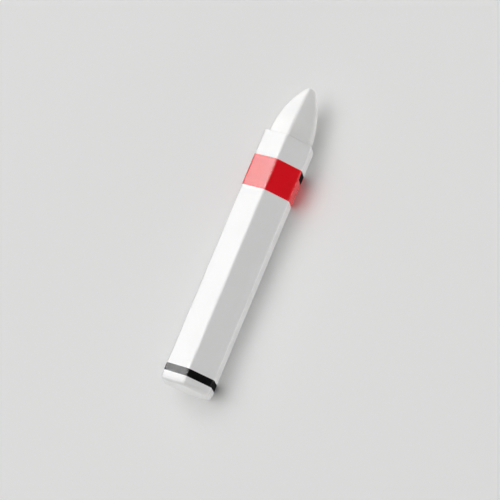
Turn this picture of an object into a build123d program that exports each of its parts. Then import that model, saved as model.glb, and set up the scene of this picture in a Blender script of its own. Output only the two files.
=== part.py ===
"""Tire marking crayon: a six-sided stick of cast wax with a blunt six-ridged point, in a paper wrapper.

Two pieces. The wax stick is one casting: a hexagonal bar, a narrow ledge, and a point whose six faces
curve in like an ogive and keep their ridges up to a blunt nose. The wrapper is one sheet folded round
the bar and glued to itself on a back face, where its outer edge shows as a low step.

Frame, in millimetres: +X runs along the stick to the point and +Z is up. The stick lies on one of its
flats, and the origin is on that flat, under the middle of the whole length.
"""

from build123d import *

import os
from math import atan2, cos, radians, sin

# Wax stick
overall_length = 102.0
wax_flats = 15.4  # across the flats of the bare bar
wax_corner_radius = 1.0
butt_edge_radius = 0.9
ledge_edge_radius = 0.25

# Point
tip_length = 17.8
ledge_width = 1.0  # from the bar's flats in to the point's
tip_taper = 0.6  # degrees that the point's faces lean in at the ledge
nose_radius = 2.0  # of the nose, seen square to a face
ridge_radius = 1.2
nose_ridge_share = 0.48  # ridge radius at the nose, as a share of the point's half width there
tip_root_radius = 0.3
flank_section_count = 4
nose_section_count = 5

# Paper wrapper
paper_thickness = 0.2
wrapper_ledge_gap = 0.5  # bare wax between the wrapper and the ledge
wrapper_butt_gap = 1.2  # bare wax between the wrapper and the butt end
lap_width = 4.2  # doubled paper at the seam
lap_edge_drop = 2.2  # from the middle of the seam's face down to the sheet's cut edge
lap_ramp = 0.6  # run over which the outer layer climbs onto the inner one
seam_face_angle = 30  # degrees above +Y that the seam's face looks

# Places
tip_flats = wax_flats - 2 * ledge_width
wrapped_flats = wax_flats + 2 * paper_thickness
axis_height = wrapped_flats / 2
butt_x = -overall_length / 2
ledge_x = overall_length / 2 - tip_length
wrapper_start_x = butt_x + wrapper_butt_gap
wrapper_length = ledge_x - wrapper_ledge_gap - wrapper_start_x
wrapper_corner_radius = wax_corner_radius + paper_thickness


def across(x):
    """Plane square to the stick at x, centred on its axis, with +Y to the right and +Z up."""
    return Plane(origin=(x, 0, axis_height), x_dir=(0, 1, 0), z_dir=(1, 0, 0))


def hexagon(x, flats, corner_radius):
    """Rounded hexagon across the stick at x, lying on a flat."""
    with BuildSketch(across(x)) as section:
        RegularPolygon(flats / 2, 6, major_radius=False)
        fillet(section.vertices(), corner_radius)
    return section.sketch


def tip_outline():
    """Outlines of the point's flank and of its nose, as (distance past the ledge, half width) points.

    The flank is one arc that leaves the ledge at the taper and runs smoothly into the nose's arc.
    """
    half = tip_flats / 2
    taper = radians(tip_taper)
    nose_centre = tip_length - nose_radius
    flank_radius = (nose_centre**2 + half**2 - nose_radius**2) / (
        2 * (half * cos(taper) - nose_centre * sin(taper) - nose_radius)
    )
    flank_x = -flank_radius * sin(taper)
    flank_y = half - flank_radius * cos(taper)
    meet = atan2(-flank_y, nose_centre - flank_x)
    start = radians(90 - tip_taper)
    flank = []
    for step in range(flank_section_count):
        angle = start + (meet - start) * step / (flank_section_count - 1)
        flank.append((flank_x + flank_radius * cos(angle), flank_y + flank_radius * sin(angle)))
    nose = []
    for step in range(nose_section_count):
        angle = meet * (1 - step / nose_section_count)
        nose.append((nose_centre + nose_radius * cos(angle), nose_radius * sin(angle)))
    return flank, nose


def ridge_share(reach):
    """Ridge radius as a share of the half width, from the ledge's sharp ridges to the nose's soft ones."""
    ledge_share = ridge_radius / (tip_flats / 2)
    return ledge_share + (nose_ridge_share - ledge_share) * (reach / tip_length) ** 2


def tip_section(reach, half_width):
    """Rounded hexagon across the point, at a distance past the ledge."""
    return hexagon(ledge_x + reach, 2 * half_width, ridge_share(reach) * half_width)


def seam_plane():
    """Plane across the wrapper's butt end, with its x down the seam's face and its y straight out of it."""
    angle = radians(seam_face_angle)
    return Plane(
        origin=(wrapper_start_x, 0, axis_height),
        x_dir=(0, sin(angle), -cos(angle)),
        z_dir=(1, 0, 0),
    )


with BuildPart() as wax_stick:
    extrude(hexagon(butt_x, wax_flats, wax_corner_radius), amount=ledge_x - butt_x)
    fillet(wax_stick.faces().sort_by(Axis.X)[0].edges(), butt_edge_radius)
    fillet(wax_stick.faces().sort_by(Axis.X)[-1].edges(), ledge_edge_radius)
    flank, nose = tip_outline()
    flank_sections = [tip_section(reach, half_width) for reach, half_width in flank]
    loft(sections=flank_sections)
    nose_sections = [tip_section(reach, half_width) for reach, half_width in nose]
    loft(sections=[*nose_sections, Vertex(ledge_x + tip_length, 0, axis_height)])
    ledge = wax_stick.faces().filter_by(Plane.YZ).sort_by(Axis.X)[-1]
    fillet(ledge.inner_wires()[0].edges(), tip_root_radius)
wax_stick.part.label = "wax_stick"

with BuildPart() as paper_wrapper:
    extrude(hexagon(wrapper_start_x, wrapped_flats, wrapper_corner_radius), amount=wrapper_length)
    extrude(hexagon(wrapper_start_x, wax_flats, wax_corner_radius), amount=wrapper_length, mode=Mode.SUBTRACT)
    with BuildSketch(seam_plane()):
        face = wrapped_flats / 2
        ramp_top = lap_edge_drop - lap_width
        Polygon(
            (ramp_top - lap_ramp, face),
            (ramp_top, face + paper_thickness),
            (lap_edge_drop, face + paper_thickness),
            (lap_edge_drop, face),
            align=None,
        )
    extrude(amount=wrapper_length)
paper_wrapper.part.label = "paper_wrapper"

os.makedirs("parts", exist_ok=True)
export_step(wax_stick.part, "parts/wax_stick.step")
export_step(paper_wrapper.part, "parts/paper_wrapper.step")
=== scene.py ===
"""Tire marking crayon on a pale studio floor: finishes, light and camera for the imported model.

Two pieces come from the frame: the cast wax stick and the paper wrapper. Both keep their shape, and
this script gives them their finish. The wrapper's print is made of plain fields placed by position.
Everything is in metres, in the frame's axes: +X along the stick to its point, +Z up.
"""

from math import cos, pi, radians, sin, tan

import bmesh
import bpy
from mathutils import Matrix, Vector


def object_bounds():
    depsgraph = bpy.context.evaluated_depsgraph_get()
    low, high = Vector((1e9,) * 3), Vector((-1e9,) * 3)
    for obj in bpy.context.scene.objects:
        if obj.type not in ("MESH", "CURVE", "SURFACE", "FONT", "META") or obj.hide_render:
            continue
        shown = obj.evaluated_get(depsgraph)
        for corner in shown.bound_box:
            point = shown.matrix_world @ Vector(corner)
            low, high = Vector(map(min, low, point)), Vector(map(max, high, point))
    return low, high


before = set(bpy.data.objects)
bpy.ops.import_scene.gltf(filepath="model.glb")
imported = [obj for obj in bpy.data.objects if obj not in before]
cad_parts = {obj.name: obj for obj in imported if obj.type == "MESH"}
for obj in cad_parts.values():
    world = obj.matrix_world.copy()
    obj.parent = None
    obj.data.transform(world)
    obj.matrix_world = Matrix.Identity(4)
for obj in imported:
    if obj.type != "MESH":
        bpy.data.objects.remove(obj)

CAD_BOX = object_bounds()
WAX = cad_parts["wax_stick"]
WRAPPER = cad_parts["paper_wrapper"]

MM = 0.001
WHITE = (1, 1, 1, 1)

# The crayon, a six-sided bar that lies on a flat
AXIS_HEIGHT = (CAD_BOX[1].z - CAD_BOX[0].z) / 2
AXIS_MIDDLE = Vector((0, 0, AXIS_HEIGHT))
FACE_DISTANCE = AXIS_HEIGHT  # from the axis out to the wrapper's faces
FACE_HALF_WIDTH = FACE_DISTANCE * tan(radians(30))
COS_60 = cos(radians(60))
SIN_60 = sin(radians(60))
RIDGE_RATIO = 1 / SIN_60  # how much further out a ridge is than a face
BUTT_X = CAD_BOX[0].x
BUTT_FINISH_DEPTH = 0.3 * MM  # how far along the stick the end face's own finish reaches
BARE_BUTT = 1.2 * MM  # wax that shows between the paper and the butt
PAPER_LENGTH = 82.5 * MM
PAPER_START = BUTT_X + BARE_BUTT
PAPER_END = PAPER_START + PAPER_LENGTH

# Print on the wrapper, as places along the stick
BAND_START = 14.4 * MM
BAND_END = 24.8 * MM
LINE_START = -48.0 * MM
LINE_END = -45.6 * MM
BAR_START = 22.1 * MM
BAR_END = BAND_END
BAR_HALF_WIDTH = 0.8 * FACE_HALF_WIDTH
BAR_FACE_OUT = (0, -SIN_60, -COS_60)  # straight out of the face that carries the bar
BAR_FACE_ACROSS = (0, -COS_60, SIN_60)  # across that face, upwards
PRINT_DEPTH_START = 0.12 * MM  # inside a face, where the print on it fades in
PRINT_DEPTH_END = 0.06 * MM
INK_EDGE = 0.03 * MM  # softness of a printed edge
INK_WANDER = 0.05 * MM  # how far a printed edge wanders
CUT_EDGE = 0.02 * MM  # softness of the paper's cut edge

# Wax
WAX_PLAIN = (0.80, 0.798, 0.79, 1)
WAX_BLOOM = (0.82, 0.818, 0.81, 1)
WAX_RUBBED = (0.83, 0.829, 0.823, 1)
WAX_PINHOLE = (0.55, 0.545, 0.53, 1)
WAX_GLOW_DEPTH = 0.6 * MM  # how far light spreads in the wax
WAX_RELIEF = 0.006 * MM

# Paper, varnish and ink
PAPER_HANDLED = (0.82, 0.82, 0.817, 1)
PAPER_CLEAN = (0.83, 0.83, 0.827, 1)
PAPER_WORN = (0.83, 0.8, 0.79, 1)
PAPER_CUT = (0.78, 0.77, 0.74, 1)
PAPER_MOTE = (0.5, 0.49, 0.47, 1)
PAPER_RELIEF = 0.0012 * MM
RED_THIN = (0.82, 0.001, 0.009, 1)
RED_FULL = (0.835, 0.0015, 0.011, 1)
BLACK_INK = (0.0035, 0.0035, 0.004, 1)
VARNISH = 0.765
BAR_DULLNESS = 0.7  # varnish that the ink of the small bar takes away
LINE_DULLNESS_ABOVE = 0.2  # the same for the line, on the stick's upper and lower faces; the extra dullness on the lower faces is painted shade, which darkens the line's reflection there
LINE_DULLNESS_BELOW_PAINTED_SHADE = 0.68
DULLNESS_CHANGE = 0.4 * MM  # half the height over which the one runs into the other

# Camera
CAMERA_AZIMUTH = -15.15
CAMERA_ELEVATION = 49.7
CAMERA_ROLL = -55.6
CAMERA_DISTANCE = 1.0986
CAMERA_SENSOR = 36  # millimetres
CAMERA_LENS = 256.8
CAMERA_NEAR = 0.01
CAMERA_FAR = 50
AIM_RIGHT = 0.37 * MM  # from the middle of the stick's axis to the middle of the view
AIM_DOWN = 3.57 * MM

# Light, as radiance where 1 is white
KEY = 1.24
FILL = 1.05
SHEEN = 10.2  # lamps that show in the gloss alone
AMBIENT = 0.365
ROOM = 0.04  # what a reflection sees of the room
WALL = 0.7
FLOOR_LIFT = 0.2  # extra light that the floor sends to the faces turned down to it
LAMP_DISTANCE = 1.6

# Floor
FLOOR_HALF_WIDTH = 12.0
FLOOR_DARK = (0.915, 0.915, 0.91, 1)
FLOOR_PALE = (0.925, 0.925, 0.92, 1)


# Node helpers


def node(tree, kind, **settings):
    """New node with its properties set."""
    made = tree.nodes.new(kind)
    for name, value in settings.items():
        setattr(made, name, value)
    return made


def feed(tree, target, value):
    """Links a socket, or sets a constant."""
    if isinstance(value, bpy.types.NodeSocket):
        tree.links.new(value, target)
    else:
        target.default_value = value


def calculate(tree, operation, first, second=0.0, clamp=False):
    """One step of arithmetic."""
    made = node(tree, "ShaderNodeMath", operation=operation, use_clamp=clamp)
    feed(tree, made.inputs[0], first)
    feed(tree, made.inputs[1], second)
    return made.outputs["Value"]


def plus(tree, *terms):
    """Sum of all the terms."""
    total = terms[0]
    for term in terms[1:]:
        total = calculate(tree, "ADD", total, term)
    return total


def minus(tree, first, second, clamp=False):
    """First value less the second."""
    return calculate(tree, "SUBTRACT", first, second, clamp)


def times(tree, *factors):
    """Product of all the factors."""
    product = factors[0]
    for factor in factors[1:]:
        product = calculate(tree, "MULTIPLY", product, factor)
    return product


def ramp(tree, value, low, high, out_low=0.0, out_high=1.0):
    """Smooth step from one output to another as value runs from low to high."""
    made = node(tree, "ShaderNodeMapRange", interpolation_type="SMOOTHSTEP")
    feed(tree, made.inputs["Value"], value)
    feed(tree, made.inputs["From Min"], low)
    feed(tree, made.inputs["From Max"], high)
    made.inputs["To Min"].default_value = out_low
    made.inputs["To Max"].default_value = out_high
    return made.outputs["Result"]


def between(tree, value, low, high, edge=INK_EDGE):
    """Mask that is one from low to high, with soft edges."""
    rise = ramp(tree, value, low - edge, low + edge)
    fall = ramp(tree, value, high - edge, high + edge, 1.0, 0.0)
    return times(tree, rise, fall)


def mix_colour(tree, factor, first, second):
    """First colour, running into the second as the factor rises to one."""
    made = node(tree, "ShaderNodeMix", data_type="RGBA")
    feed(tree, made.inputs["Factor"], factor)
    feed(tree, made.inputs["A"], first)
    feed(tree, made.inputs["B"], second)
    return made.outputs["Result"]


def noise(tree, vector, scale, detail):
    """Even noise, about one half on average."""
    made = node(tree, "ShaderNodeTexNoise")
    feed(tree, made.inputs["Vector"], vector)
    feed(tree, made.inputs["Scale"], scale)
    made.inputs["Detail"].default_value = detail
    return made.outputs["Fac"]


def coordinate(tree, vector, axis):
    """One coordinate of a place, X, Y or Z."""
    split = node(tree, "ShaderNodeSeparateXYZ")
    feed(tree, split.inputs["Vector"], vector)
    return split.outputs[axis]


def from_axis(tree, place):
    """A place, measured from the middle of the stick's axis."""
    made = node(tree, "ShaderNodeVectorMath", operation="SUBTRACT")
    feed(tree, made.inputs[0], place)
    made.inputs[1].default_value = AXIS_MIDDLE
    return made.outputs["Vector"]


def reach_along(tree, place, direction):
    """How far a place is from the stick's axis, along a direction across it."""
    made = node(tree, "ShaderNodeVectorMath", operation="DOT_PRODUCT")
    feed(tree, made.inputs[0], from_axis(tree, place))
    made.inputs[1].default_value = direction
    return made.outputs["Value"]


def bump(tree, shader, height, relief):
    """Gives the surface a fine relief, whose height of one is this deep."""
    made = node(tree, "ShaderNodeBump")
    made.inputs["Distance"].default_value = relief
    feed(tree, made.inputs["Height"], height)
    feed(tree, shader.inputs["Normal"], made.outputs["Normal"])


def new_material(name):
    """Empty material, with its nodes, its shader and the place on the object that it is asked about."""
    made = bpy.data.materials.new(name)
    made.use_nodes = True
    tree = made.node_tree
    place = node(tree, "ShaderNodeTexCoord").outputs["Object"]
    return made, tree, tree.nodes["Principled BSDF"], place


# Effects that more than one material uses, each built once as a node group


def new_group(name, **inputs):
    """Empty node group with a mask as its output, what it is given, and where its mask goes."""
    group = bpy.data.node_groups.new(name, "ShaderNodeTree")
    for label, kind in inputs.items():
        group.interface.new_socket(label, in_out="INPUT", socket_type="NodeSocket" + kind)
    group.interface.new_socket("Mask", in_out="OUTPUT", socket_type="NodeSocketFloat")
    given = node(group, "NodeGroupInput").outputs
    return group, given, node(group, "NodeGroupOutput").inputs["Mask"]


def effect(tree, group, **values):
    """Places a node group with its own values, and gives its mask."""
    made = node(tree, "ShaderNodeGroup", node_tree=group)
    for name, value in values.items():
        feed(tree, made.inputs[name], value)
    return made.outputs["Mask"]


def grain_group():
    """Streaks or fibres: fine noise drawn out by a different factor along each axis."""
    group, given, mask = new_group("drawn_grain", Place="Vector", Fineness="Vector")
    drawn = node(group, "ShaderNodeVectorMath", operation="MULTIPLY")
    feed(group, drawn.inputs[0], given["Place"])
    feed(group, drawn.inputs[1], given["Fineness"])
    feed(group, mask, noise(group, drawn.outputs["Vector"], 1.0, detail=3))
    return group


def smudge_group():
    """Soft patches left by handling, or by bloom on wax."""
    group, given, mask = new_group("smudges", Place="Vector", Scale="Float")
    patches = noise(group, given["Place"], given["Scale"], detail=3)
    feed(group, mask, ramp(group, patches, 0.35, 0.65))
    return group


def speck_group():
    """Small round specks, in the given share of the cells of a mesh of the given scale."""
    group, given, mask = new_group("specks", Place="Vector", Scale="Float", Share="Float", Radius="Float")
    cells = node(group, "ShaderNodeTexVoronoi")
    feed(group, cells.inputs["Vector"], given["Place"])
    feed(group, cells.inputs["Scale"], given["Scale"])
    chance = node(group, "ShaderNodeSeparateColor")
    feed(group, chance.inputs["Color"], cells.outputs["Color"])
    chosen = calculate(group, "LESS_THAN", chance.outputs["Red"], given["Share"])
    distance = calculate(group, "DIVIDE", cells.outputs["Distance"], given["Radius"])
    inside = minus(group, 1.0, distance, clamp=True)
    feed(group, mask, times(group, chosen, ramp(group, inside, 0.0, 0.6)))
    return group


def ridge_group():
    """Mask of the six ridges, on the bar and on the point alike, for rubbed corners and worn folds."""
    group, given, mask = new_group("ridges", Place="Vector", Start="Float")
    centred = from_axis(group, given["Place"])
    side = calculate(group, "ABSOLUTE", coordinate(group, centred, "Y"))
    height = calculate(group, "ABSOLUTE", coordinate(group, centred, "Z"))
    slanted_ridge = plus(group, times(group, side, COS_60), times(group, height, SIN_60))
    slanted_face = plus(group, times(group, side, SIN_60), times(group, height, COS_60))
    to_ridge = calculate(group, "MAXIMUM", side, slanted_ridge)
    to_face = calculate(group, "MAXIMUM", height, slanted_face)
    sharpness = calculate(group, "DIVIDE", to_ridge, calculate(group, "MAXIMUM", to_face, 0.1 * MM))
    feed(group, mask, ramp(group, sharpness, given["Start"], RIDGE_RATIO))
    return group


GRAIN = grain_group()
SMUDGES = smudge_group()
SPECKS = speck_group()
RIDGES = ridge_group()


# Wax


def wax_tone(tree, bloom, rubbed, pinholes):
    """Colour of the wax: bloom in soft patches, paler rubbed ridges and dim pinholes."""
    tone = mix_colour(tree, bloom, WAX_PLAIN, WAX_BLOOM)
    tone = mix_colour(tree, times(tree, rubbed, 0.5), tone, WAX_RUBBED)
    return mix_colour(tree, times(tree, pinholes, 0.5), tone, WAX_PINHOLE)


def wax_height(tree, place, pimple, on_butt, pinholes):
    """Relief of the wax: drag marks from the mould, a scraped end face and pinholes."""
    drag = effect(tree, GRAIN, Place=place, Fineness=(60, 900, 900))
    scrape = effect(tree, GRAIN, Place=place, Fineness=(900, 70, 1400))
    moulded = plus(tree, times(tree, drag, 0.5), times(tree, pimple, 0.35))
    scraped = times(tree, scrape, times(tree, on_butt, 4.0))
    return minus(tree, plus(tree, moulded, scraped), times(tree, pinholes, 6.0))


def wax_material():
    """White marking wax: dense and faintly translucent, with bloom, mould marks and pinholes."""
    made, tree, shader, place = new_material("marking_wax")
    x = coordinate(tree, place, "X")
    on_butt = ramp(tree, x, BUTT_X, BUTT_X + BUTT_FINISH_DEPTH, 1.0, 0.0)
    bloom = effect(tree, SMUDGES, Place=place, Scale=160)
    pinholes = effect(tree, SPECKS, Place=place, Scale=420, Share=0.05, Radius=0.09)
    pimple = noise(tree, place, 2600, detail=2)
    ridges = effect(tree, RIDGES, Place=place, Start=1.1)
    rubbed = times(tree, ridges, minus(tree, 1.0, on_butt))
    bloom_roughness = ramp(tree, bloom, 0, 1, 0.31, 0.34)
    pimple_roughness = ramp(tree, pimple, 0.3, 0.7, -0.015, 0.015)
    roughness = plus(tree, bloom_roughness, pimple_roughness, times(tree, rubbed, 0.02))
    feed(tree, shader.inputs["Base Color"], wax_tone(tree, bloom, rubbed, pinholes))
    feed(tree, shader.inputs["Roughness"], roughness)
    shader.inputs["IOR"].default_value = 1.5
    shader.inputs["Specular IOR Level"].default_value = 0.42
    shader.inputs["Subsurface Weight"].default_value = 0.25
    shader.inputs["Subsurface Radius"].default_value = (1.0, 0.9, 0.8)
    shader.inputs["Subsurface Scale"].default_value = WAX_GLOW_DEPTH
    bump(tree, shader, wax_height(tree, place, pimple, on_butt, pinholes), WAX_RELIEF)
    return made


# Paper


def print_masks(tree, place, x):
    """Masks of the red band, the black line by the butt and the small black bar on one face."""
    band = between(tree, x, BAND_START, BAND_END)
    line = between(tree, x, LINE_START, LINE_END)
    out = reach_along(tree, place, BAR_FACE_OUT)
    across = reach_along(tree, place, BAR_FACE_ACROSS)
    on_face = ramp(tree, out, FACE_DISTANCE - PRINT_DEPTH_START, FACE_DISTANCE - PRINT_DEPTH_END)
    in_width = between(tree, across, -BAR_HALF_WIDTH, BAR_HALF_WIDTH)
    in_length = between(tree, x, BAR_START, BAR_END)
    return band, line, times(tree, on_face, in_width, in_length)


def paper_tone(tree, place, fibres, band, line, bar, cut):
    """Colour of the paper: its print, worn folds, cut edges and a few motes."""
    handled = effect(tree, SMUDGES, Place=place, Scale=90)
    folds = effect(tree, RIDGES, Place=place, Start=1.13)
    motes = effect(tree, SPECKS, Place=place, Scale=380, Share=0.03, Radius=0.07)
    red = mix_colour(tree, ramp(tree, fibres, 0.35, 0.65), RED_THIN, RED_FULL)
    tone = mix_colour(tree, handled, PAPER_HANDLED, PAPER_CLEAN)
    tone = mix_colour(tree, band, tone, red)
    tone = mix_colour(tree, line, tone, BLACK_INK)
    tone = mix_colour(tree, bar, tone, BLACK_INK)
    worn = times(tree, folds, ramp(tree, fibres, 0.5, 0.62, 0.0, 0.14))
    tone = mix_colour(tree, worn, tone, PAPER_WORN)
    tone = mix_colour(tree, cut, tone, PAPER_CUT)
    return mix_colour(tree, times(tree, motes, 0.4), tone, PAPER_MOTE)


def varnish_weight(tree, place, line, bar, cut):
    """Strength of the varnish, which ink and handling dull and the cut edges don't have. Below the axis
    the line is dulled more, as painted shade that darkens its reflection on the lower faces.
    """
    smudges = effect(tree, SMUDGES, Place=place, Scale=150)
    z = coordinate(tree, place, "Z")
    low = AXIS_HEIGHT - DULLNESS_CHANGE
    high = AXIS_HEIGHT + DULLNESS_CHANGE
    # painted shade: the line's varnish is duller below the axis, so its reflection on the lower faces is
    # darker
    line_dullness_with_painted_shade = ramp(tree, z, low, high, LINE_DULLNESS_BELOW_PAINTED_SHADE, LINE_DULLNESS_ABOVE)
    inks = plus(tree, times(tree, line, line_dullness_with_painted_shade), times(tree, bar, BAR_DULLNESS))
    return minus(tree, VARNISH, plus(tree, inks, times(tree, smudges, 0.03), cut), clamp=True)


def paper_height(tree, place, fibres, band, line):
    """Relief of the paper: its fibres, the thickness of the ink and a slight cockle."""
    cockle = effect(tree, GRAIN, Place=place, Fineness=(55, 130, 130))
    inked = calculate(tree, "MAXIMUM", band, line)
    return plus(tree, times(tree, fibres, 0.5), times(tree, inked, 0.4), times(tree, cockle, 9.0))


def paper_material():
    """Varnished white label paper with its print: a red band, a black line and a small black bar."""
    made, tree, shader, place = new_material("label_paper")
    x = coordinate(tree, place, "X")
    wander = times(tree, minus(tree, noise(tree, place, 1800, detail=2), 0.5), INK_WANDER)
    band, line, bar = print_masks(tree, place, plus(tree, x, wander))
    fibres = effect(tree, GRAIN, Place=place, Fineness=(900, 2600, 2600))
    cut = minus(tree, 1.0, between(tree, x, PAPER_START, PAPER_END, CUT_EDGE))
    feed(tree, shader.inputs["Base Color"], paper_tone(tree, place, fibres, band, line, bar, cut))
    feed(tree, shader.inputs["Roughness"], ramp(tree, fibres, 0.3, 0.7, 0.5, 0.6))
    feed(tree, shader.inputs["Coat Weight"], varnish_weight(tree, place, line, bar, cut))
    shader.inputs["Specular IOR Level"].default_value = 0.0
    shader.inputs["Coat Roughness"].default_value = 0.22
    shader.inputs["Coat IOR"].default_value = 1.5
    bump(tree, shader, paper_height(tree, place, fibres, band, line), PAPER_RELIEF)
    return made


def dress(piece, material):
    """Gives a piece of the frame its material."""
    piece.data.materials.clear()
    piece.data.materials.append(material)


# Studio


def floor_material():
    """Pale seamless floor, which lifts the faces turned down to it a little."""
    made, tree, shader, place = new_material("studio_floor")
    cloud = ramp(tree, noise(tree, place, 3, detail=2), 0.3, 0.7)
    unseen = minus(tree, 1.0, node(tree, "ShaderNodeLightPath").outputs["Is Camera Ray"])
    feed(tree, shader.inputs["Base Color"], mix_colour(tree, cloud, FLOOR_DARK, FLOOR_PALE))
    feed(tree, shader.inputs["Emission Strength"], times(tree, unseen, FLOOR_LIFT))
    shader.inputs["Emission Color"].default_value = WHITE
    shader.inputs["Roughness"].default_value = 0.85
    shader.inputs["Specular IOR Level"].default_value = 0.0
    return made


def make_floor():
    """Level floor that the crayon lies on."""
    plane = bmesh.new()
    bmesh.ops.create_grid(plane, x_segments=1, y_segments=1, size=FLOOR_HALF_WIDTH)
    mesh = bpy.data.meshes.new("floor")
    plane.to_mesh(mesh)
    plane.free()
    mesh.materials.append(floor_material())
    floor = bpy.data.objects.new("floor", mesh)
    bpy.context.scene.collection.objects.link(floor)


def looking_from(azimuth, elevation, roll=0.0):
    """Rotation whose +Z points back towards the viewer, turned about it by the roll."""
    turn = radians(azimuth)
    climb = radians(elevation)
    back = Vector((sin(turn) * cos(climb), -cos(turn) * cos(climb), sin(climb)))
    right = Vector((0, 0, 1)).cross(back).normalized()
    up = back.cross(right)
    axes = Matrix((right, up, back)).transposed()
    return axes @ Matrix.Rotation(radians(roll), 3, "Z")


def make_camera():
    """Long lens that looks down on the crayon, with its point to the upper right."""
    camera = bpy.data.objects.new("camera", bpy.data.cameras.new("camera"))
    bpy.context.scene.collection.objects.link(camera)
    axes = looking_from(CAMERA_AZIMUTH, CAMERA_ELEVATION, CAMERA_ROLL)
    aim = AXIS_MIDDLE + axes.col[0] * AIM_RIGHT - axes.col[1] * AIM_DOWN
    place = aim + axes.col[2] * CAMERA_DISTANCE
    camera.matrix_world = Matrix.Translation(place) @ axes.to_4x4()
    camera.data.sensor_width = CAMERA_SENSOR
    camera.data.lens = CAMERA_LENS
    camera.data.clip_start = CAMERA_NEAR
    camera.data.clip_end = CAMERA_FAR
    bpy.context.scene.camera = camera


def make_softbox(name, azimuth, elevation, width, height, radiance, sheen=False):
    """Rectangular area light that faces the crayon, given by its brightness.

    It either lights the surfaces or, as a sheen light, shows in their gloss alone.
    """
    light = bpy.data.lights.new(name, "AREA")
    light.shape = "RECTANGLE"
    light.size = width
    light.size_y = height
    light.energy = radiance * pi * width * height
    light.cycles.use_multiple_importance_sampling = False
    lamp = bpy.data.objects.new(name, light)
    bpy.context.scene.collection.objects.link(lamp)
    axes = looking_from(azimuth, elevation)
    place = AXIS_MIDDLE + axes.col[2] * LAMP_DISTANCE
    lamp.matrix_world = Matrix.Translation(place) @ axes.to_4x4()
    lamp.visible_camera = False
    lamp.visible_glossy = sheen
    lamp.visible_diffuse = not sheen
    lamp.visible_transmission = not sheen


def make_lamps():
    """Large key and low fill that light the surfaces, and four lamps for the sheen."""
    make_softbox("key", 165, 76, 2.0, 2.0, KEY)
    make_softbox("front_fill", -42, 5, 1.8, 0.5, FILL)
    make_softbox("sheen_back", 167, 50, 1.15, 1.15, SHEEN, sheen=True)
    make_softbox("sheen_above", -17, 83, 1.0, 1.7, SHEEN, sheen=True)
    make_softbox("sheen_point", 131, 21, 1.0, 1.3, 0.68 * SHEEN, sheen=True)
    make_softbox("sheen_side", 85, 42, 1.0, 1.0, 0.8 * SHEEN, sheen=True)


def even_light(tree, strength):
    """The same white light from everywhere."""
    made = node(tree, "ShaderNodeBackground")
    made.inputs["Color"].default_value = WHITE
    made.inputs["Strength"].default_value = strength
    return made.outputs["Background"]


def choose(tree, chosen, first, second):
    """First light, or the second where chosen is one."""
    made = node(tree, "ShaderNodeMixShader")
    feed(tree, made.inputs["Fac"], chosen)
    feed(tree, made.inputs[1], first)
    feed(tree, made.inputs[2], second)
    return made.outputs["Shader"]


def make_world():
    """Even room light, a dimmer room for reflections, and a pale wall behind everything."""
    world = bpy.data.worlds.new("studio")
    bpy.context.scene.world = world
    world.use_nodes = True
    world.cycles.sampling_method = "NONE"  # so that each ray meets the light that is meant for it
    tree = world.node_tree
    tree.nodes.clear()
    path = node(tree, "ShaderNodeLightPath").outputs
    unseen = choose(tree, path["Is Glossy Ray"], even_light(tree, AMBIENT), even_light(tree, ROOM))
    seen = choose(tree, path["Is Camera Ray"], unseen, even_light(tree, WALL))
    feed(tree, node(tree, "ShaderNodeOutputWorld").inputs["Surface"], seen)


dress(WAX, wax_material())
dress(WRAPPER, paper_material())
make_camera()
make_floor()
make_world()
make_lamps()
bpy.context.scene.view_settings.view_transform = "Standard"
